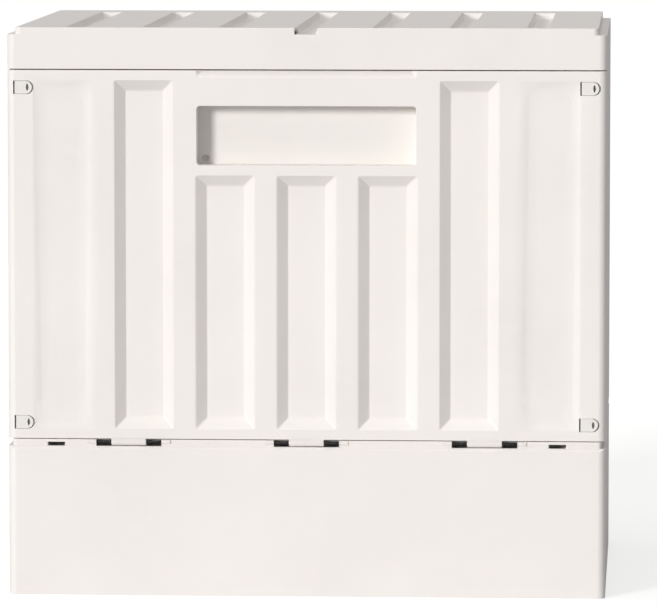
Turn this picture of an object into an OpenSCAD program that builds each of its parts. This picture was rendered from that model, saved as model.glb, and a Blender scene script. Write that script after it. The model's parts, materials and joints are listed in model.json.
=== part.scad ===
// Folding lidded bin: a deep base tray, four ribbed walls on hinge rods, and a hinged lid.
// The front wall drops outward, the side walls fold flat into the tray, and the lid opens at the rear.
// Millimetres. +X is the right-hand side, the front faces -Y, the bin stands on z = 0.

/* [Overall size] */
// Width of the walls and the base
body_w = 530; // [420:1:560]
// Depth from the front face to the rear face of the walls
body_d = 392; // [390:1:440]
// Width of the lid over its skirt
lid_w = 530; // [528:1:532]
// Height of the lid's top above the ground
lid_top = 505; // [500:1:512]

/* [Base tray] */
// Height of the base's plain outer face
base_h = 133.2; // [133:0.1:134]
// Height of the inset rim that the walls stand over
rim_h = 139.2; // [138.5:0.1:139.3]
// How far the rim is set in from the outer face
rim_in = 3.5; // [3:0.1:3.6]
// Height of the tray's floor plate above the ground
floor_z = 4; // [3:1:8]

/* [Walls] */
// Bottom edge of the walls
wall_z0 = 140.2; // [140.1:0.1:141]
// Top edge of the walls
wall_z1 = 467.4; // [467:0.1:467.6]
// Thickness of a wall over its flanges
wall_t = 26; // [26:0.5:27]
// Thickness of the moulded skin
skin = 3; // [2.5:0.1:3.2]
// Radius of the upright outer corners
corner_r = 7; // [5:0.5:8]

/* [Recessed channels] */
// Distance between the middles of two channels on the front and rear walls
rib_pitch = 72; // [70:1:74]
// Width of a channel at its mouth
rib_w = 52; // [48:1:56]
// Width of a channel's sloping side
rib_slope = 9.5; // [8:0.5:12]
// Depth of a channel
rib_depth = 8; // [5:1:9]
// Depth of the two shallow channels at the ends of a wall
end_rib_depth = 1.6; // [1.4:0.1:2]
// Bottom end of the channels
rib_z0 = 149; // [148:1:152]
// Top end of the long channels
rib_z1 = 458.5; // [450:0.5:460]
// Top end of the short channels below the hand pocket
short_rib_z1 = 374.5; // [360:0.5:376]

/* [Hand pocket] */
// Width of the hand pocket
pocket_w = 194; // [150:1:196]
// Bottom edge of the hand pocket
pocket_z0 = 383.5; // [380:0.5:390]
// Top edge of the hand pocket
pocket_z1 = 436; // [425:0.5:440]
// Depth of the hand pocket
pocket_depth = 21.5; // [18:0.5:21.5]
// Height of the bevelled finger relief in the top edge above the pocket
relief_h = 6; // [4:0.5:6]
// Depth of the finger relief
relief_d = 4; // [3:0.5:4]

/* [Lid] */
// Height of the lid's skirt above the ground
lid_z0 = 468.4; // [468.2:0.1:469]
// How far the side shoulders lie below the top
shoulder_drop = 6.2; // [5:0.1:8]
// Width of a side shoulder
shoulder_w = 7.5; // [6:0.5:12]
// Distance between the middles of two grooves in the top
groove_pitch = 68; // [66:1:70]
// Width of a groove in the top
groove_w = 20; // [18:1:24]
// Depth of a groove in the top
groove_depth = 6; // [4:0.5:7]

/* [Hinges and catches] */
// Distance of the outer hinges from the middle
hinge_x = 158; // [150:1:165]
// Width of a wall's knuckle
knuckle_w = 31; // [28:1:33]
// Width of the open window on each side of a front knuckle
window_w = 13.5; // [12:0.5:14]
// Radius of the slim pins at the foot of the front and rear walls
slim_pin_r = 1.25; // [1:0.05:1.3]
// Radius of the lid's pins and the side walls' rods
rod_r = 2; // [1.5:0.1:2.2]
// Radial running clearance of a knuckle on its pin
run_gap = 0.05; // [0.02:0.01:0.1]
// Distance of a corner catch from the middle
catch_x = 250.5; // [245:0.5:251]
// Height of the lower corner catches
catch_low = 154.5; // [154:0.5:160]
// Height of the upper corner catches
catch_high = 452; // [445:0.5:453]
// Travel of a catch button
catch_travel = 2; // [1:0.5:2]

/* [Hidden] */
$fn = 48;
over = 1;
y_front = -body_d / 2 - 4;
y_rear = body_d / 2 - 4;
wall_h = wall_z1 - wall_z0;
flange = 4;
liner_t = 2;
top_flange = 5;
rib_in = 3;
drain_r = 2.8;
air = 1;

// Hinge at the foot of the front and rear walls
foot_in = 4.5;
foot_axis_z = 137;
foot_r = 3.3;
lug_w = 8;
lug_r = 2.3;
window_z0 = base_h;
window_half = knuckle_w / 2 + window_w;
foot_pin_l = 2 * (window_half + lug_w);

// Side walls fold into the tray one above the other
side_in = 18;
left_axis_z = 115;
right_axis_z = 88;
side_r = 5;
side_leg_w = 30;
side_leg_x = 110;
side_lug_w = 10;
side_w = body_d - 2 * wall_t - 2 * air;
side_rod_l = 2 * (side_leg_x + side_leg_w / 2 + air + side_lug_w) + 10;
side_ribs = [-1.5, -0.5, 0.5, 1.5];

// Lid hinge behind the rear wall
lid_axis_y = y_rear + 3;
lid_axis_z = 468;
lid_r = 5;
lid_leaf_w = 12;
plateau_r = 5;
lid_leaf_x = knuckle_w / 2 + air + lid_leaf_w / 2;
lid_pin_l = knuckle_w + 2 * (air + lid_leaf_w);

// Corner catch, measured from its middle on the wall's outer face
catch_l = 18;
catch_h = 12;
catch_face = 0.6;
catch_plate = 3;
catch_deep = catch_face + catch_plate + catch_travel + 0.4;
post_x = -2.5;
post_r = 3;
post_end = 12;
well_r = 3.4;
well_end = 21;
button_end_gap = 1.3;
button_side_gap = 0.2;
slit_x = 3.5;
slit_half_w = 1.15;
slit_r = 5.6;
wire_r = 0.4;
coil_r = 2.6;
striker = [1.5, 14, 20];

hinge_xs = [-hinge_x, 0, hinge_x];
catch_zs = [catch_low, catch_high];

plastic = "whitesmoke";
shade = "gainsboro";
steel = "dimgray";

// ---------- shared shapes ----------

// Rectangle with four round corners
module round_rect(x0, x1, y0, y1, r) {
  translate([x0 + r, y0]) square([x1 - x0 - 2 * r, y1 - y0]);
  translate([x0, y0 + r]) square([x1 - x0, y1 - y0 - 2 * r]);
  for (x = [x0 + r, x1 - r], y = [y0 + r, y1 - r]) translate([x, y]) circle(r);
}

// The bin's footprint, set in by a distance
module footprint(inset) {
  round_rect(-body_w / 2 + inset, body_w / 2 - inset, y_front + inset, y_rear - inset,
             max(corner_r - inset, 1.5));
}

// Upright ring between two insets of the footprint
module ring(inset_out, inset_in, z0, z1) {
  translate([0, 0, z0]) linear_extrude(z1 - z0) difference() {
    footprint(inset_out);
    footprint(inset_in);
  }
}

// Pyramid stump that narrows by slope on every side from y = 0 to y = depth
module stump(w, z0, z1, depth, slope, mouth = 0) {
  grow = slope * mouth / depth;
  intersection() {
    translate([0, 0, z0 - 5]) linear_extrude(z1 - z0 + 10) polygon([
      [-w / 2 - grow, -mouth], [w / 2 + grow, -mouth], [w / 2 - slope, depth], [-w / 2 + slope, depth]
    ]);
    translate([-w / 2 - 5, 0, 0]) rotate([90, 0, 90]) linear_extrude(w + 10) polygon([
      [-mouth, z0 - grow], [depth, z0 + slope], [depth, z1 - slope], [-mouth, z1 + grow]
    ]);
  }
}

// Rod, pin or bore along X
module x_rod(r, l) { rotate([0, 90, 0]) cylinder(r = r, h = l, center = true); }

// Everything that repeats at the front and the rear is drawn for the front, with its outer face at y = 0
module at_front() { translate([0, y_front, 0]) children(); }
module at_rear() { translate([0, y_rear, 0]) rotate([0, 0, 180]) children(); }
module at_left() { translate([-body_w / 2, -4, 0]) rotate([0, 0, -90]) children(); }
module at_right() { translate([body_w / 2, -4, 0]) rotate([0, 0, 90]) children(); }

// ---------- walls ----------

// One channel as [middle in pitches, top end, depth]
function channel_list() = [
  [-3, rib_z1, end_rib_depth], [-2, rib_z1, rib_depth], [-1, short_rib_z1, rib_depth],
  [0, short_rib_z1, rib_depth], [1, short_rib_z1, rib_depth], [2, rib_z1, rib_depth],
  [3, rib_z1, end_rib_depth]
];

// Outline of a wall in plan, with two round outer corners where it turns the bin's corner
module wall_plan(w, r) {
  translate([-w / 2, r]) square([w, wall_t - r]);
  translate([-w / 2 + r, 0]) square([w - 2 * r, wall_t]);
  if (r > 0) for (s = [-1, 1]) translate([s * (w / 2 - r), r]) circle(r);
}

// Skin, edge flanges and cross ribs of a wall, before the channels are sunk
module wall_body(w, r) {
  translate([0, 0, wall_z0]) difference() {
    linear_extrude(wall_h) wall_plan(w, r);
    translate([-w / 2 + flange, skin, flange])
      cube([w - 2 * flange, wall_t, wall_h - flange - top_flange]);
  }
  for (z = [wall_z0 + wall_h / 3, wall_z0 + wall_h * 0.68])
    translate([-w / 2 + rib_in, rib_in - 1, z]) cube([w - 2 * rib_in, wall_t - liner_t - rib_in + 1, 2.5]);
}

// Corner catch: a square end and a round one, set in from the recess at its ends and along its sides
module catch_outline(end_gap, side_gap) {
  r = catch_h / 2 - side_gap;
  square_end = -catch_l / 2 + end_gap;
  round_mid = catch_l / 2 - end_gap - r;
  translate([square_end, -r]) square([round_mid - square_end, 2 * r]);
  translate([round_mid, 0]) circle(r);
}

// Turns a flat catch shape upright, so that it grows inward from the wall's face
module catch_extrude(y0, y1) { translate([0, y1, 0]) rotate([90, 0, 0]) linear_extrude(y1 - y0) children(); }

module catch_places() {
  for (s = [-1, 1], z = catch_zs) translate([s * catch_x, 0, z]) children();
}

// Housing behind each catch, solid, then its recess and spring well
module catch_housing() {
  catch_extrude(1, catch_deep + 2.5) catch_outline(-1.6, -1.6);
  translate([post_x, 1, 0]) rotate([-90, 0, 0]) cylinder(r = well_r + 1.8, h = well_end + 1);
}
module catch_recess() {
  catch_extrude(-over, catch_deep) catch_outline(0, 0);
  translate([post_x, 0, 0]) rotate([-90, 0, 0]) cylinder(r = well_r, h = well_end);
}

// Wide wall of the front and the rear
module wide_wall() {
  difference() {
    union() {
      wall_body(body_w, corner_r);
      for (c = channel_list()) translate([c[0] * rib_pitch, 1, 0])
        stump(rib_w + 2 * skin, rib_z0 - skin, c[1] + skin, c[2] + skin - 1, rib_slope);
      catch_places() catch_housing();
    }
    for (c = channel_list()) translate([c[0] * rib_pitch, 0, 0])
      stump(rib_w, rib_z0, c[1], c[2], c[2] < rib_depth ? rib_slope * 0.7 : rib_slope, over);
    catch_places() catch_recess();
    // mouth of the hand pocket and the clear space for its cup
    catch_extrude(-over, skin + over) translate([0, (pocket_z0 + pocket_z1) / 2]) pocket_outline(0);
    translate([-pocket_w / 2 - 3, skin, pocket_z0 - 3])
      cube([pocket_w + 6, wall_t, pocket_z1 - pocket_z0 + 6]);
    finger_relief();
  }
}

// Bevel in the top edge above the hand pocket, with slanting ends
module finger_relief() {
  half = pocket_w / 2;
  intersection() {
    translate([0, 0, wall_z1 - 2 * relief_h]) linear_extrude(3 * relief_h) polygon([
      [-half - over, -over], [half + over, -over], [half - relief_d - over, relief_d + over],
      [-half + relief_d + over, relief_d + over]
    ]);
    translate([-half - 2 * over, 0, wall_z1]) rotate([90, 0, 90]) linear_extrude(2 * half + 4 * over)
      polygon([[0, -relief_h], [relief_d, 0], [relief_d, over], [-2 * over, over], [-2 * over, -relief_h]]);
  }
}

// Round-cornered outline of the hand pocket about its own middle
module pocket_outline(grow) {
  half_w = pocket_w / 2 + grow;
  half_h = (pocket_z1 - pocket_z0) / 2 + grow;
  round_rect(-half_w, half_w, -half_h, half_h, 3 + grow);
}

// Knuckles at the foot of a wide wall, with bores for their pins
module foot_knuckles(bore_r) {
  for (x = hinge_xs) translate([x, foot_in, foot_axis_z]) difference() {
    union() {
      x_rod(foot_r, knuckle_w);
      translate([-knuckle_w / 2, -foot_r, 0]) cube([knuckle_w, 2 * foot_r, wall_z0 - foot_axis_z + 1]);
    }
    x_rod(bore_r, knuckle_w + 2);
  }
}

// Set of short pins, one for each hinge
module foot_pins() {
  for (x = hinge_xs) translate([x, foot_in, foot_axis_z]) x_rod(slim_pin_r, foot_pin_l);
}

// Cup that closes the hand pocket behind the skin
module pocket_cup() {
  mid = (pocket_z0 + pocket_z1) / 2;
  difference() {
    catch_extrude(skin, pocket_depth + 2) translate([0, mid]) pocket_outline(2);
    catch_extrude(skin - over, pocket_depth) translate([0, mid]) pocket_outline(0);
    // drain hole in the lower left corner
    translate([-pocket_w / 2 + 6.5, pocket_depth - over, pocket_z0 + 5])
      rotate([-90, 0, 0]) cylinder(r = drain_r, h = 5);
  }
}

// Flat panel that closes a wall's inner side
module wall_liner(w) {
  inset = flange + 0.3;
  translate([-w / 2 + inset, wall_t - liner_t, wall_z0 + inset])
    cube([w - 2 * inset, liner_t, wall_h - inset - top_flange - 0.3]);
}

// Narrow wall of a side, with two legs that reach down to its rod
module side_wall(axis_z) {
  difference() {
    union() {
      wall_body(side_w, 0);
      for (k = side_ribs) translate([k * rib_pitch, 1, 0])
        stump(rib_w + 2 * skin, rib_z0 - skin, rib_z1 + skin, rib_depth + skin - 1, rib_slope);
      for (s = [-1, 1]) translate([s * side_leg_x, side_in, axis_z]) {
        x_rod(side_r, side_leg_w);
        translate([-side_leg_w / 2, -side_r, 0])
          cube([side_leg_w, 2 * side_r, wall_z0 - axis_z + 2]);
      }
    }
    for (k = side_ribs) translate([k * rib_pitch, 0, 0])
      stump(rib_w, rib_z0, rib_z1, rib_depth, rib_slope, over);
    for (s = [-1, 1]) translate([s * side_leg_x, side_in, axis_z]) x_rod(rod_r + run_gap, side_leg_w + 2);
    striker_places() cube(striker, center = true);
  }
}

// Seats of the striker plates in a side wall's two end flanges
module striker_places() {
  for (s = [-1, 1], z = catch_zs)
    translate([s * (side_w / 2 - striker[0] / 2), wall_t / 2, z]) children();
}

// ---------- base ----------

module base_lugs(axis_z) {
  for (s = [-1, 1], t = [-1, 1])
    translate([s * side_leg_x + t * (side_leg_w / 2 + air + side_lug_w / 2), 0, axis_z]) {
      translate([-side_lug_w / 2, 1, -14]) cube([side_lug_w, side_in - 1, 14 + side_r]);
      translate([0, side_in, 0]) x_rod(side_r, side_lug_w);
    }
}

// Ledge, inner skin and lugs under the front or the rear wall
module base_ledge() {
  inner = wall_t - 0.5;
  span = body_w - 2 * (rim_in + 1);
  translate([-span / 2, rim_in + 1, rim_h - skin]) cube([span, inner - rim_in - 1, skin]);
  translate([-span / 2, inner - skin, floor_z]) cube([span, skin, rim_h - floor_z]);
  for (x = hinge_xs, s = [-1, 1]) translate([x + s * (window_half + lug_w / 2), foot_in, foot_axis_z]) {
    x_rod(lug_r, lug_w);
    translate([-lug_w / 2, -1, -8]) cube([lug_w, lug_r + 1, 8]);
  }
}

// Openings in the rim: hinge windows, drain slots and the bevelled shoulder the wall swings past
module base_ledge_cuts() {
  for (x = hinge_xs) {
    translate([x - window_half, -over, window_z0]) cube([2 * window_half, 12, 10]);
    translate([x, foot_in, foot_axis_z]) x_rod(slim_pin_r, foot_pin_l + 0.02);
  }
  for (s = [-1, 1]) translate([s * 222.5 - 7.5, -over, base_h]) cube([15, 8, 3.3]);
  bevel = 2.5;
  translate([-body_w / 2 - over, 0, base_h]) rotate([90, 0, 90]) linear_extrude(body_w + 2 * over)
    polygon([[-over, -bevel - over], [bevel + over, over], [-over, over]]);
}

module base_tray() {
  color(plastic) difference() {
    union() {
      ring(0, skin, 0, base_h);
      ring(1, rim_in + skin, base_h - skin, base_h);
      ring(rim_in, rim_in + skin, base_h - skin, rim_h);
      translate([0, 0, floor_z]) linear_extrude(skin) footprint(1);
      at_front() base_ledge();
      at_rear() base_ledge();
      at_left() base_lugs(left_axis_z);
      at_right() base_lugs(right_axis_z);
      // stiffening bars under the floor
      for (k = [-3:3]) translate([k * rib_pitch - 1.5, y_front + wall_t, 0])
        cube([3, body_d - 2 * wall_t, floor_z + 1]);
    }
    at_front() base_ledge_cuts();
    at_rear() base_ledge_cuts();
    at_left() translate([0, side_in, left_axis_z]) x_rod(rod_r, side_rod_l + 2);
    at_right() translate([0, side_in, right_axis_z]) x_rod(rod_r, side_rod_l + 2);
  }
}

// ---------- lid ----------

module lid_outline(inset) {
  round_rect(-lid_w / 2 + inset, lid_w / 2 - inset, y_front + inset, y_rear - inset, max(corner_r - inset, 2));
}

// Outer block of the lid: a plateau with round corners between two lower side shoulders
module lid_block(inset) {
  z0 = lid_z0 - (inset > 0 ? over : 0);
  top = lid_top - inset;
  half = lid_w / 2 - shoulder_w - inset;
  translate([0, 0, z0]) {
    linear_extrude(top - shoulder_drop - z0) lid_outline(inset);
    linear_extrude(top - z0) round_rect(-half, half, y_front + inset, y_rear - inset, plateau_r);
  }
}

module lid_shell() {
  groove_y0 = y_front + 10;
  groove_y1 = y_rear - 40;
  notch_w = groove_w;
  color(plastic) difference() {
    union() {
      difference() {
        lid_block(0);
        lid_block(skin);
      }
      for (k = [-3:3]) translate([k * groove_pitch, (groove_y0 + groove_y1) / 2, lid_top - groove_depth - skin])
        translate([-groove_w / 2, -(groove_y1 - groove_y0) / 2, 0])
          cube([groove_w, groove_y1 - groove_y0, groove_depth + skin - 1]);
      translate([-groove_w / 2, y_front + 1, lid_top - groove_depth - skin]) cube([groove_w, 20, skin]);
      for (x = hinge_xs, s = [-1, 1]) translate([x + s * lid_leaf_x, lid_axis_y, lid_axis_z]) {
        x_rod(lid_r, lid_leaf_w);
        translate([-lid_leaf_w / 2, -lid_r - 2, 1.2]) cube([lid_leaf_w, lid_r + 2, 14]);
      }
    }
    for (k = [-3:3]) translate([k * groove_pitch, 0, 0]) lid_groove_cut(groove_y0, groove_y1);
    // the middle groove runs out through the front
    translate([-notch_w / 2, y_front - over, lid_top - groove_depth]) cube([notch_w, 20, groove_depth + over]);
    for (x = hinge_xs) {
      translate([x - knuckle_w / 2 - air, lid_axis_y - lid_r - 2, lid_z0 - over]) cube([knuckle_w + 2 * air, 20, 7.5]);
      translate([x, lid_axis_y, lid_axis_z]) x_rod(rod_r + run_gap, lid_pin_l + 2);
    }
  }
}

// Groove in the lid's top: steep at the front end and along its sides, with a long slope at the far end
module lid_groove_cut(y0, y1) {
  slope = 4;
  far = 10;
  translate([0, 0, lid_top]) intersection() {
    translate([0, y1, 0]) rotate([90, 0, 0]) linear_extrude(y1 - y0) polygon([
      [-groove_w / 2, over], [groove_w / 2, over],
      [groove_w / 2 - slope + 1, -groove_depth], [-groove_w / 2 + slope - 1, -groove_depth]
    ]);
    translate([-groove_w, 0, 0]) rotate([90, 0, 90]) linear_extrude(2 * groove_w) polygon([
      [y0, over], [y0 + slope, -groove_depth], [y1 - far, -groove_depth], [y1, over]
    ]);
  }
}

// Flat panel with a lattice on its back, clipped into the lid's underside
module lid_liner() {
  z0 = lid_z0 + 11;
  z1 = lid_top - groove_depth - skin - 0.3;
  x_half = lid_w / 2 - shoulder_w - skin - 3;
  y0 = y_front + skin + 2;
  y1 = y_rear - 14;
  rows = 4;
  color(shade) {
    translate([-x_half, y0, z0]) cube([2 * x_half, y1 - y0, liner_t]);
    for (i = [0:rows])
      translate([-x_half, y0 + i * (y1 - y0 - skin) / rows, z0]) cube([2 * x_half, skin, z1 - z0]);
    for (k = [-3.5:1:3.5]) translate([k * groove_pitch - 1.5, y0, z0]) cube([3, y1 - y0, z1 - z0]);
  }
}

// ---------- the walls as nodes ----------

module front_wall() {
  color(plastic) at_front() {
    wide_wall();
    foot_knuckles(slim_pin_r + run_gap);
  }
}

module rear_wall() {
  color(plastic) difference() {
    union() {
      at_rear() {
        wide_wall();
        foot_knuckles(slim_pin_r);
      }
      for (x = hinge_xs) translate([x, lid_axis_y, lid_axis_z]) {
        x_rod(lid_r, knuckle_w);
        translate([-knuckle_w / 2, -lid_r - 1, -13]) cube([knuckle_w, lid_r + 1, 11]);
      }
    }
    for (x = hinge_xs) {
      translate([x, lid_axis_y, lid_axis_z]) x_rod(rod_r, lid_pin_l);
      for (s = [-1, 1]) translate([x + s * lid_leaf_x - lid_leaf_w / 2 - air, y_rear - 4.5, 461.5])
        cube([lid_leaf_w + 2 * air - 0.5, 10, 10]);
    }
  }
}

module front_wall_liner() { color(shade) at_front() wall_liner(body_w); }
module rear_wall_liner() { color(shade) at_rear() wall_liner(body_w); }
module left_wall_liner() { color(shade) at_left() wall_liner(side_w); }
module right_wall_liner() { color(shade) at_right() wall_liner(side_w); }

module left_wall() { color(plastic) at_left() side_wall(left_axis_z); }
module right_wall() { color(plastic) at_right() side_wall(right_axis_z); }

module front_pocket_cup() { color(shade) at_front() pocket_cup(); }
module rear_pocket_cup() { color(shade) at_rear() pocket_cup(); }

// ---------- pins, rods and catches ----------

module front_wall_pins() { color(steel) at_front() foot_pins(); }
module rear_wall_pins() { color(steel) at_rear() foot_pins(); }
module left_wall_rod() { color(steel) at_left() translate([0, side_in, left_axis_z]) x_rod(rod_r, side_rod_l); }
module right_wall_rod() { color(steel) at_right() translate([0, side_in, right_axis_z]) x_rod(rod_r, side_rod_l); }
module lid_pins() {
  color(steel) for (x = hinge_xs) translate([x, lid_axis_y, lid_axis_z]) x_rod(rod_r, lid_pin_l);
}

module left_strikers() { color(steel) at_left() striker_places() cube(striker, center = true); }
module right_strikers() { color(steel) at_right() striker_places() cube(striker, center = true); }

// Push button of one catch, with its finger slit and the post that meets the spring
module catch_button() {
  catch_extrude(catch_face, catch_face + catch_plate) difference() {
    catch_outline(button_end_gap, button_side_gap);
    intersection_for(s = [-1, 1]) translate([slit_x + s * (slit_r - slit_half_w), 0]) circle(slit_r);
  }
  translate([post_x, catch_face + 1, 0]) rotate([-90, 0, 0]) cylinder(r = post_r, h = post_end - catch_face - 1);
}

// Return springs of the four catches of a wide wall, each the sleeve that its coils fill when pressed
module catch_springs() {
  start = post_end + catch_travel + 0.3;
  catch_places() translate([post_x, start, 0]) rotate([-90, 0, 0]) difference() {
    cylinder(r = coil_r + wire_r, h = well_end - start);
    translate([0, 0, -over]) cylinder(r = coil_r - wire_r, h = well_end - start + 2 * over);
  }
}

module catch_at(s, z) { color(shade) translate([s * catch_x, 0, z]) catch_button(); }

module front_catch_springs() { color(steel) at_front() catch_springs(); }
module rear_catch_springs() { color(steel) at_rear() catch_springs(); }

base_tray();
front_wall();
rear_wall();
left_wall();
right_wall();
lid_shell();
lid_liner();
front_wall_liner();
rear_wall_liner();
left_wall_liner();
right_wall_liner();
front_pocket_cup();
rear_pocket_cup();
front_wall_pins();
rear_wall_pins();
left_wall_rod();
right_wall_rod();
lid_pins();
left_strikers();
right_strikers();
front_catch_springs();
rear_catch_springs();
at_front() catch_at(-1, catch_low);  // catch_front_left_low
at_front() catch_at(-1, catch_high);  // catch_front_left_high
at_front() catch_at(1, catch_low);  // catch_front_right_low
at_front() catch_at(1, catch_high);  // catch_front_right_high
at_rear() catch_at(1, catch_low);  // catch_rear_left_low
at_rear() catch_at(1, catch_high);  // catch_rear_left_high
at_rear() catch_at(-1, catch_low);  // catch_rear_right_low
at_rear() catch_at(-1, catch_high);  // catch_rear_right_high
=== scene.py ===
"""Looks of the folding lidded bin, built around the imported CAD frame. Metres, +Z up, the front faces -Y."""
import json
import math

import bmesh
import bpy
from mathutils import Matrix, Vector
from mathutils.bvhtree import BVHTree
from mathutils.geometry import intersect_point_line


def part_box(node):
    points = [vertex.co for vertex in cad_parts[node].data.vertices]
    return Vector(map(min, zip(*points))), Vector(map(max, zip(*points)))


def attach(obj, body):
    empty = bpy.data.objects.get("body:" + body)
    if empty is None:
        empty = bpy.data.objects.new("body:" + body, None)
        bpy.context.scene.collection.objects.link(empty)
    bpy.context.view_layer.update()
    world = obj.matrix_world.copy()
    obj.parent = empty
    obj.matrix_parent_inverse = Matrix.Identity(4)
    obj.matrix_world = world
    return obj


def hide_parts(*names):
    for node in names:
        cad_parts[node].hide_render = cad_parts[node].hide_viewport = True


MM = 0.001

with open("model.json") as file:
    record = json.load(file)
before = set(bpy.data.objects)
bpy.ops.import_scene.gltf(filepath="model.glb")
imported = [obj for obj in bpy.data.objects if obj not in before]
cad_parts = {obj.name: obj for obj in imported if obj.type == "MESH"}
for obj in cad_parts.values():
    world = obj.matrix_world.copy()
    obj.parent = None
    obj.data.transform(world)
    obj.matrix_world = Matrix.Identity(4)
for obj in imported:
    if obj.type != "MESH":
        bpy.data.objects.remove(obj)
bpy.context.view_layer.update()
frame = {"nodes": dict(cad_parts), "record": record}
nodes = frame["nodes"]
front_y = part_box("front_wall")[0][1]


# ---------- materials ----------

def new_material(name):
    """A new material with its node tree and its main shader."""
    material = bpy.data.materials.new(name)
    material.use_nodes = True
    tree = material.node_tree
    shader = next(n for n in tree.nodes if n.type == "BSDF_PRINCIPLED")
    return material, tree, shader


def add_noise(tree, coords, scale, detail=3.0, roughness=0.5, stretch=(1, 1, 1)):
    """A noise pattern in object coordinates; scale counts features per metre."""
    mapping = tree.nodes.new("ShaderNodeMapping")
    mapping.inputs["Scale"].default_value = stretch
    noise = tree.nodes.new("ShaderNodeTexNoise")
    noise.inputs["Scale"].default_value = scale
    noise.inputs["Detail"].default_value = detail
    noise.inputs["Roughness"].default_value = roughness
    tree.links.new(coords, mapping.inputs["Vector"])
    tree.links.new(mapping.outputs["Vector"], noise.inputs["Vector"])
    return noise.outputs["Fac"]


def add_range(tree, value, low, high, to_low, to_high):
    """The value, carried over from the range low to high to the range to_low to to_high."""
    node = tree.nodes.new("ShaderNodeMapRange")
    node.inputs["From Min"].default_value = low
    node.inputs["From Max"].default_value = high
    node.inputs["To Min"].default_value = to_low
    node.inputs["To Max"].default_value = to_high
    tree.links.new(value, node.inputs["Value"])
    return node.outputs["Result"]


def add_mix(tree, factor, first, second):
    """Mixes two colours; each is a socket or a plain (r, g, b)."""
    node = tree.nodes.new("ShaderNodeMix")
    node.data_type = "RGBA"
    tree.links.new(factor, node.inputs["Factor"])
    for name, colour in (("A", first), ("B", second)):
        socket = next(s for s in node.inputs if s.name == name and s.type == "RGBA")
        if isinstance(colour, tuple):
            socket.default_value = (*colour, 1)
        else:
            tree.links.new(colour, socket)
    return next(s for s in node.outputs if s.type == "RGBA")


def add_bump(tree, height, distance, normal=None):
    """A normal that follows the height, distance metres deep, on top of another normal if one is given."""
    node = tree.nodes.new("ShaderNodeBump")
    node.inputs["Distance"].default_value = distance
    tree.links.new(height, node.inputs["Height"])
    if normal:
        tree.links.new(normal, node.inputs["Normal"])
    return node.outputs["Normal"]


# Features per metre of each pattern in the plastic: cloudy tone, finer mottle, hair scuffs, moulded grain,
# and the slow waves of a surface that sank a little as it cooled
CLOUDS = 9
MOTTLES = 60
SCUFFS = 110
GRAINS = 1400
WAVES = 14
WAVE_DEPTH = 0.4 * MM

# How much darker the clouds are, how much green and blue the warm mottles lose, and what a scuff keeps
CLOUD_LOSS = 0.044
MOTTLE_LOSS = (0, 0.01, 0.032)
SCUFF_KEEP = 0.93
SCUFF_STRETCH = (0.08, 1, 1.6)
PLASTIC_IOR = 1.46
PLASTIC_SPECULAR = 0.4


def moulded_plastic(name, colour, roughness, grain, scuffs):
    """Warm white moulded plastic: grain of the given depth, a faint cloudy tone and hair scuffs."""
    material, tree, shader = new_material(name)
    coords = tree.nodes.new("ShaderNodeTexCoord").outputs["Object"]
    cloud = add_noise(tree, coords, CLOUDS, detail=4)
    mottle = add_noise(tree, coords, MOTTLES)
    scratch = add_noise(tree, coords, SCUFFS, detail=6, roughness=0.7, stretch=SCUFF_STRETCH)
    darker = tuple(c * (1 - CLOUD_LOSS) for c in colour)
    warmer = tuple(c * (1 - loss) for c, loss in zip(colour, MOTTLE_LOSS))
    scuffed = tuple(c * SCUFF_KEEP for c in colour)
    tone = add_mix(tree, add_range(tree, cloud, 0.35, 0.7, 0, 1), colour, darker)
    tone = add_mix(tree, add_range(tree, mottle, 0.45, 0.75, 0, 0.6), tone, warmer)
    tone = add_mix(tree, add_range(tree, scratch, 0.63, 0.72, 0, scuffs), tone, scuffed)
    tree.links.new(tone, shader.inputs["Base Color"])
    sheen = add_range(tree, cloud, 0.3, 0.7, roughness - 0.05, roughness + 0.06)
    tree.links.new(sheen, shader.inputs["Roughness"])
    normal = add_bump(tree, add_noise(tree, coords, WAVES, detail=1), WAVE_DEPTH)
    normal = add_bump(tree, add_noise(tree, coords, GRAINS, detail=2), grain, normal)
    tree.links.new(normal, shader.inputs["Normal"])
    shader.inputs["IOR"].default_value = PLASTIC_IOR
    shader.inputs["Specular IOR Level"].default_value = PLASTIC_SPECULAR
    return material


# Features per metre of the draw marks along the steel and of the cloudy oxide on it
DRAW_MARKS = 700
DRAW_STRETCH = (0.05, 1, 1)
DRAW_DEPTH = 0.03 * MM
OXIDE_CLOUDS = 240
OXIDE_DARK = (0.035, 0.035, 0.037)
OXIDE_PALE = (0.07, 0.07, 0.072)
STEEL_METALLIC = 0.9


def blackened_steel(name):
    """Drawn rod and wire with a black-oxide finish."""
    material, tree, shader = new_material(name)
    coords = tree.nodes.new("ShaderNodeTexCoord").outputs["Object"]
    drawn = add_noise(tree, coords, DRAW_MARKS, stretch=DRAW_STRETCH)
    cloud = add_noise(tree, coords, OXIDE_CLOUDS, detail=2)
    tone = add_mix(tree, add_range(tree, cloud, 0.3, 0.7, 0, 1), OXIDE_DARK, OXIDE_PALE)
    tree.links.new(tone, shader.inputs["Base Color"])
    tree.links.new(add_range(tree, drawn, 0.3, 0.7, 0.3, 0.5), shader.inputs["Roughness"])
    tree.links.new(add_bump(tree, drawn, DRAW_DEPTH), shader.inputs["Normal"])
    shader.inputs["Metallic"].default_value = STEEL_METALLIC
    return material


SHELL_WHITE = (0.868, 0.834, 0.816)
LINER_WHITE = (0.83, 0.815, 0.79)
# The cup's white is warmer than the shell's white: a painted warm bounce light, the tint of light bounced into
# the shaded hand-hold pocket
CUP_WHITE_WITH_PAINTED_BOUNCE = (0.86, 0.832, 0.808)
CATCH_WHITE = (0.82, 0.805, 0.785)

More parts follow.
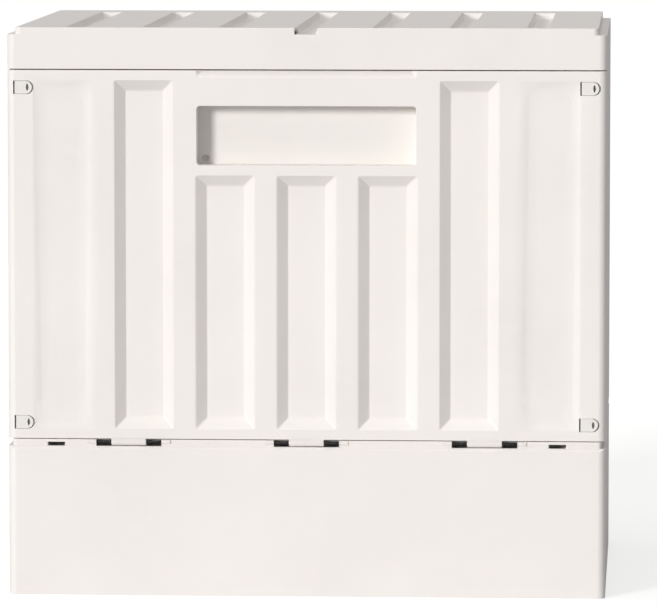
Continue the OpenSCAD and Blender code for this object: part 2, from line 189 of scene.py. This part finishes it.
SLOT_MATERIALS = {
    "body": moulded_plastic("shell_plastic", SHELL_WHITE, roughness=0.5, grain=0.04 * MM, scuffs=0.3),
    "liner": moulded_plastic("liner_plastic", LINER_WHITE, roughness=0.42, grain=0.01 * MM, scuffs=0.6),
    "cup": moulded_plastic("cup_plastic_with_painted_bounce", CUP_WHITE_WITH_PAINTED_BOUNCE, roughness=0.48, grain=0.03 * MM, scuffs=0.3),
    "catch": moulded_plastic("catch_plastic", CATCH_WHITE, roughness=0.4, grain=0.01 * MM, scuffs=0.1),
    "steel": blackened_steel("black_steel"),
}


# ---------- moulded pieces ----------

# How far the rounding reaches from an edge: on the crisp corners of each kind of piece, and on the softer
# edges where a slope meets a face
CRISP = {"body": 0.9 * MM, "liner": 0.5 * MM, "cup": 1.2 * MM, "catch": 0.35 * MM}
SOFT_EDGE = 1.4 * MM
ROUNDING_STEPS = 3

# Bends that are soft edges, that are rounded at all, and that are flat
SOFT_BELOW = math.radians(70)
SHARP_ABOVE = math.radians(20)
FLAT_BELOW = math.radians(0.3)

# Size of the flat cells, decimals of a place in metres, and the distance at which points are one
CELL = 22 * MM
PLACE_DIGITS = 5
WELD = 0.001 * MM

# An edge leaves another sideways if this share of it goes across. The rounding takes at most these shares of
# it, the smaller one where its far end is rounded too.
SIDEWAYS = 0.3
SHARED_ROOM = 0.42
OPEN_ROOM = 0.85

# Below this cosine between their ways from a shared point, two edges are one straight run
STRAIGHT_ON = -0.8

# A rounded triangle further than this from the CAD surface, or folded over on it, is a stray
STRAY_GAP = 0.6 * MM
FOLD_GAP = 0.2 * MM
FOLD_AREA = 0.3 * MM * MM
FOLD_COSINE = -0.5

# Runs this near a stray get a smaller radius, at most so many times
STRAY_REACH = 4 * MM
SHRINK = 0.5
TRIES = 5


def bend(edge):
    """The angle between the two faces of an edge."""
    return edge.calc_face_angle(0) if len(edge.link_faces) == 2 else 0


def cut_places(values, keep_off):
    """Places of the cuts along one axis: evenly in each gap between edges that is wide enough."""
    places = []
    values = sorted(set(round(value, PLACE_DIGITS + 1) for value in values))
    for low, high in zip(values, values[1:]):
        if high - low > 2 * keep_off:
            count = max(1, round((high - low) / CELL))
            places += [round(low + (high - low) * (i + 0.5) / count, PLACE_DIGITS) for i in range(count)]
    return places


def in_cells(mesh):
    """The mesh as flat cells: triangles of one plane are joined again inside a grid of planes."""
    bm = bmesh.new()
    bm.from_mesh(mesh)
    bmesh.ops.remove_doubles(bm, verts=bm.verts[:], dist=WELD)
    sharp = [edge for edge in bm.edges if bend(edge) > SHARP_ABOVE]
    cuts = []
    for axis in range(3):
        way = Vector([1 if i == axis else 0 for i in range(3)])
        cuts.append(set(cut_places([v.co[axis] for e in sharp for v in e.verts], 2 * SOFT_EDGE)))
        for place in sorted(cuts[axis]):
            everything = bm.verts[:] + bm.edges[:] + bm.faces[:]
            bmesh.ops.bisect_plane(bm, geom=everything, dist=WELD, plane_co=place * way, plane_no=way)

    def on_cut(edge):
        """Whether both ends lie on one of the cuts."""
        ends = [[round(value, PLACE_DIGITS) for value in vert.co] for vert in edge.verts]
        return any(ends[0][i] == ends[1][i] and ends[0][i] in cuts[i] for i in range(3))

    spare = [e for e in bm.edges if len(e.link_faces) == 2 and bend(e) < FLAT_BELOW and not on_cut(e)]
    bmesh.ops.dissolve_edges(bm, edges=spare, use_verts=False, use_face_split=False)
    return bm


def room_beside(edge):
    """How far an edge's rounding may reach along the edges that leave its ends."""
    room = SOFT_EDGE
    way = (edge.verts[1].co - edge.verts[0].co).normalized()
    for vert in edge.verts:
        for other in vert.link_edges:
            if other == edge:
                continue
            other_way = other.other_vert(vert).co - vert.co
            across = (other_way - other_way.dot(way) * way).length
            if across > SIDEWAYS * other_way.length:
                far = other.other_vert(vert)
                shared = any(bend(e) > SHARP_ABOVE for e in far.link_edges if e != other)
                room = min(room, across * (SHARED_ROOM if shared else OPEN_ROOM))
    return room


def edge_runs(bm):
    """The sharp edges, each with the first edge of its run; a run goes on in one line through its edges."""
    run = {edge: edge for edge in bm.edges if bend(edge) > SHARP_ABOVE}

    def first(edge):
        """The edge that stands for the run, with the way to it shortened."""
        while run[edge] != edge:
            run[edge] = run[run[edge]]
            edge = run[edge]
        return edge

    for vert in bm.verts:
        meeting = [(e, (e.other_vert(vert).co - vert.co).normalized()) for e in vert.link_edges if e in run]
        for i, (edge, way) in enumerate(meeting):
            for other, other_way in meeting[:i]:
                if way.dot(other_way) < STRAIGHT_ON:
                    run[first(edge)] = first(other)
    return {edge: first(edge) for edge in run}


def run_radii(run, slot):
    """One rounding radius for each run, as small as its tightest place needs."""
    radius = {}
    for edge, key in run.items():
        wanted = SOFT_EDGE if bend(edge) < SOFT_BELOW else CRISP[slot]
        radius[key] = min(radius.get(key, SOFT_EDGE), wanted, room_beside(edge))
    return radius


def stray_places(piece, surface):
    """Middles of the triangles that the rounding has folded over or pulled off the CAD surface."""
    bpy.context.view_layer.update()
    shown = piece.evaluated_get(bpy.context.evaluated_depsgraph_get())
    mesh = shown.to_mesh()
    mesh.calc_loop_triangles()
    places = []
    for triangle in mesh.loop_triangles:
        middle = sum((mesh.vertices[i].co for i in triangle.vertices), Vector()) / 3
        _, normal, _, gap = surface.find_nearest(middle)
        against = normal.dot(triangle.normal) < FOLD_COSINE
        folded = triangle.area > FOLD_AREA and gap < FOLD_GAP and against
        if folded or gap > STRAY_GAP:
            places.append(middle)
    shown.to_mesh_clear()
    return places


def runs_near(run, places):
    """The runs that pass close to any of the places."""
    near = set()
    for edge, key in run.items():
        start, end = (vert.co for vert in edge.verts)
        for place in places:
            share = intersect_point_line(place, start, end)[1]
            foot = start.lerp(end, min(max(share, 0), 1))
            if key not in near and (foot - place).length < STRAY_REACH:
                near.add(key)
    return near


def round_edges(piece, bm, surface, slot):
    """Rounds the piece's sharp edges, with smaller radii on the runs where that leaves stray triangles."""
    weight = bm.edges.layers.float.new("bevel_weight_edge")
    run = edge_runs(bm)
    radius = run_radii(run, slot)
    for _ in range(TRIES):
        for edge, key in run.items():
            edge[weight] = radius[key] / SOFT_EDGE
        bm.to_mesh(piece.data)
        places = stray_places(piece, surface)
        if not places:
            break
        for key in runs_near(run, places):
            radius[key] *= SHRINK


def add_rounding(piece):
    """A bevel that rounds each edge by its weight, as a share of the soft edge's reach."""
    bevel = piece.modifiers.new("rounding", "BEVEL")
    bevel.limit_method = "WEIGHT"
    bevel.width = SOFT_EDGE
    bevel.segments = ROUNDING_STEPS
    bevel.use_clamp_overlap = False
    bevel.miter_outer = "MITER_ARC"


def moulded(node, slot, body):
    """A piece that stands for a CAD node, with its edges rounded as a mould leaves them."""
    cad = nodes[node].data
    mesh = bpy.data.meshes.new(node + "_moulded")
    piece = bpy.data.objects.new(node + "_moulded", mesh)
    bpy.context.scene.collection.objects.link(piece)
    add_rounding(piece)
    bm = in_cells(cad)
    surface = BVHTree.FromPolygons([v.co[:] for v in cad.vertices], [f.vertices[:] for f in cad.polygons])
    round_edges(piece, bm, surface, slot)
    bm.free()
    normals = piece.modifiers.new("normals", "WEIGHTED_NORMAL")
    normals.keep_sharp = True
    mesh.materials.append(SLOT_MATERIALS[slot])
    for face in mesh.polygons:
        face.use_smooth = True
    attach(piece, body)
    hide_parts(node)


bodies = frame["record"]["behaviour"]["bodies"]
node_body = {node: body for body, members in bodies.items() for node in members}
for entry in frame["record"]["subparts"]:
    node, slot = entry["node"], entry["material_slot"]
    if slot == "steel":
        for material_slot in nodes[node].material_slots:
            material_slot.material = SLOT_MATERIALS[slot]
    else:
        moulded(node, slot, node_body[node])


# ---------- floor, light and camera ----------

WHITE = (1, 1, 1, 1)
FLOOR_SIZE = 30
FLOOR_TONE = (0.55, 0.55, 0.55, 1)
FLOOR_ROUGHNESS = 0.9
FLOOR_LIFT = 0.58


def pale_floor():
    """A matt pale floor, lifted towards the white backdrop where the camera sees it directly."""
    bpy.ops.mesh.primitive_plane_add(size=FLOOR_SIZE, location=(0, 0, 0))
    floor = bpy.context.object
    floor.name = "floor"
    material, tree, shader = new_material("floor_white")
    shader.inputs["Base Color"].default_value = FLOOR_TONE
    shader.inputs["Roughness"].default_value = FLOOR_ROUGHNESS
    shader.inputs["Emission Color"].default_value = WHITE
    seen = tree.nodes.new("ShaderNodeLightPath").outputs["Is Camera Ray"]
    tree.links.new(add_range(tree, seen, 0, 1, 0, FLOOR_LIFT), shader.inputs["Emission Strength"])
    floor.data.materials.append(material)


# Where each lamp shines from, its strength and its apparent size in degrees
KEY_LAMP = (Vector((-0.53, -0.81, 0.24)), 2.24, 14)
TOP_LAMP = (Vector((0, -0.12, 0.99)), 0.98, 60)
ROOM_STRENGTH = 0.3
LAMP_COLOUR = (1, 0.985, 0.965)


def far_lamp(name, way, strength, size):
    """A lamp so far away that its light is even, shining from the given way."""
    data = bpy.data.lights.new(name, "SUN")
    data.angle = math.radians(size)
    data.energy = strength
    data.color = LAMP_COLOUR
    light = bpy.data.objects.new(name, data)
    light.rotation_euler = way.to_track_quat("Z", "Y").to_euler()
    bpy.context.scene.collection.objects.link(light)


def studio():
    """A white room with a soft key lamp to the left, a little above the bin, and a faint wide one overhead."""
    scene = bpy.context.scene
    far_lamp("key", *KEY_LAMP)
    far_lamp("overhead", *TOP_LAMP)
    scene.world = bpy.data.worlds.new("studio")
    scene.world.use_nodes = True
    tree = scene.world.node_tree
    room = next(n for n in tree.nodes if n.type == "BACKGROUND")
    room.inputs["Strength"].default_value = ROOM_STRENGTH
    backdrop = tree.nodes.new("ShaderNodeBackground")
    for node in (room, backdrop):
        node.inputs["Color"].default_value = WHITE
    seen = tree.nodes.new("ShaderNodeLightPath").outputs["Is Camera Ray"]
    choose = tree.nodes.new("ShaderNodeMixShader")
    tree.links.new(seen, choose.inputs["Fac"])
    tree.links.new(room.outputs["Background"], choose.inputs[1])
    tree.links.new(backdrop.outputs["Background"], choose.inputs[2])
    out = next(n for n in tree.nodes if n.type == "OUTPUT_WORLD")
    tree.links.new(choose.outputs["Shader"], out.inputs["Surface"])
    scene.view_settings.view_transform = "Standard"


# Lens and sensor in millimetres, and the camera's place and aim in metres
LENS = 316
SENSOR_WIDTH = 36
CAMERA_PLACE = Vector((0.306, front_y - 5.07, 0.717))
CAMERA_AIM = Vector((0.0198, front_y, 0.2615))
VIEW_DEPTH = 60


def front_camera():
    """A long lens above and a little to the right, aimed at the middle of the front."""
    data = bpy.data.cameras.new("camera")
    data.lens = LENS
    data.sensor_width = SENSOR_WIDTH
    data.sensor_fit = "HORIZONTAL"
    data.clip_end = VIEW_DEPTH
    camera = bpy.data.objects.new("camera", data)
    camera.location = CAMERA_PLACE
    camera.rotation_euler = (CAMERA_AIM - CAMERA_PLACE).to_track_quat("-Z", "Y").to_euler()
    bpy.context.scene.collection.objects.link(camera)
    bpy.context.scene.camera = camera


front_camera()
studio()
pale_floor()
